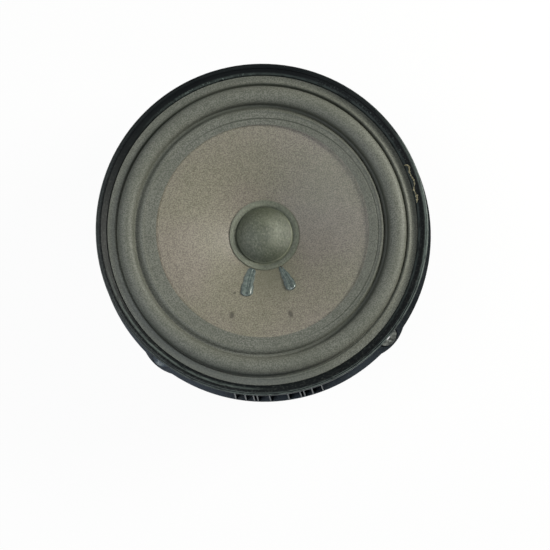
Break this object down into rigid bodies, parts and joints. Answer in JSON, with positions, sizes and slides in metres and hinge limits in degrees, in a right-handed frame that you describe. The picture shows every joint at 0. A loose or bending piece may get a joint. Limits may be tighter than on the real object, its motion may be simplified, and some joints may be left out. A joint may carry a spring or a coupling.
{
  "type": "car door loudspeaker",
  "caption": "Round car door woofer: deep moulded basket with screw ears, half-roll surround, paper cone with domed cap, ferrite magnet and a sprung voice coil.",
  "frame": {"origin": "centre of the magnet's rear face, which is what the speaker rests on", "axes": "+Z along the axis, from the magnet to the front; the plug socket faces -Y; the four ears lie at 45 degrees between X and Y"},
  "size_m": [0.168, 0.168, 0.066],
  "materials": {
    "basket_rim": "moulded black plastic, satin on the lip",
    "basket_flange": "moulded black plastic",
    "basket_frame": "moulded black plastic",
    "basket_cup": "moulded black plastic",
    "basket_shroud": "moulded black plastic",
    "mount_bushes": "zinc plated, dulled",
    "rim_seal": "open-cell foam",
    "surround": "matt grey foam rubber",
    "cone": "fibrous brown-grey pulp",
    "dust_cap": "grey-green doped cloth",
    "coil_former": "kraft paper",
    "coil_winding": "enamelled wire",
    "neck_glue": "set cement",
    "spider": "resin-dipped cotton",
    "lead_glue_left": "clear cement, glossy",
    "lead_glue_right": "clear cement, glossy",
    "coil_lead_left": "enamelled wire",
    "coil_lead_right": "enamelled wire",
    "tinsel_left": "braided wire",
    "tinsel_right": "braided wire",
    "terminal_wide": "tinned brass",
    "terminal_narrow": "tinned brass",
    "top_plate": "zinc plated",
    "ferrite_magnet": "ground grey-black ferrite",
    "back_plate": "zinc plated",
    "pole_piece": "zinc plated",
    "plate_screws": "zinc plated"
  },
  "bodies": {
    "chassis": {"basket_rim": "basket_rim", "basket_flange": "basket_flange", "basket_frame": "basket_frame", "basket_cup": "basket_cup", "basket_shroud": "basket_shroud", "mount_bushes": "mount_bushes", "rim_seal": "rim_seal", "surround": "surround", "spider": "spider", "tinsel_left": "tinsel_left", "tinsel_right": "tinsel_right", "terminal_wide": "terminal_wide", "terminal_narrow": "terminal_narrow", "top_plate": "top_plate", "ferrite_magnet": "ferrite_magnet", "back_plate": "back_plate", "pole_piece": "pole_piece", "plate_screws": "plate_screws"},
    "cone_assembly": {"cone": "cone", "dust_cap": "dust_cap", "coil_former": "coil_former", "coil_winding": "coil_winding", "neck_glue": "neck_glue", "lead_glue_left": "lead_glue_left", "lead_glue_right": "lead_glue_right", "coil_lead_left": "coil_lead_left", "coil_lead_right": "coil_lead_right"}
  },
  "joints": [
    {"name": "cone_travel", "type": "slide", "parent": "chassis", "child": "cone_assembly", "axis": [0, 0, 1], "range_m": [-0.005, 0.005], "stiffness_N_per_m": 1000, "deforming": ["surround", "spider", "tinsel_left", "tinsel_right"]}
  ]
}
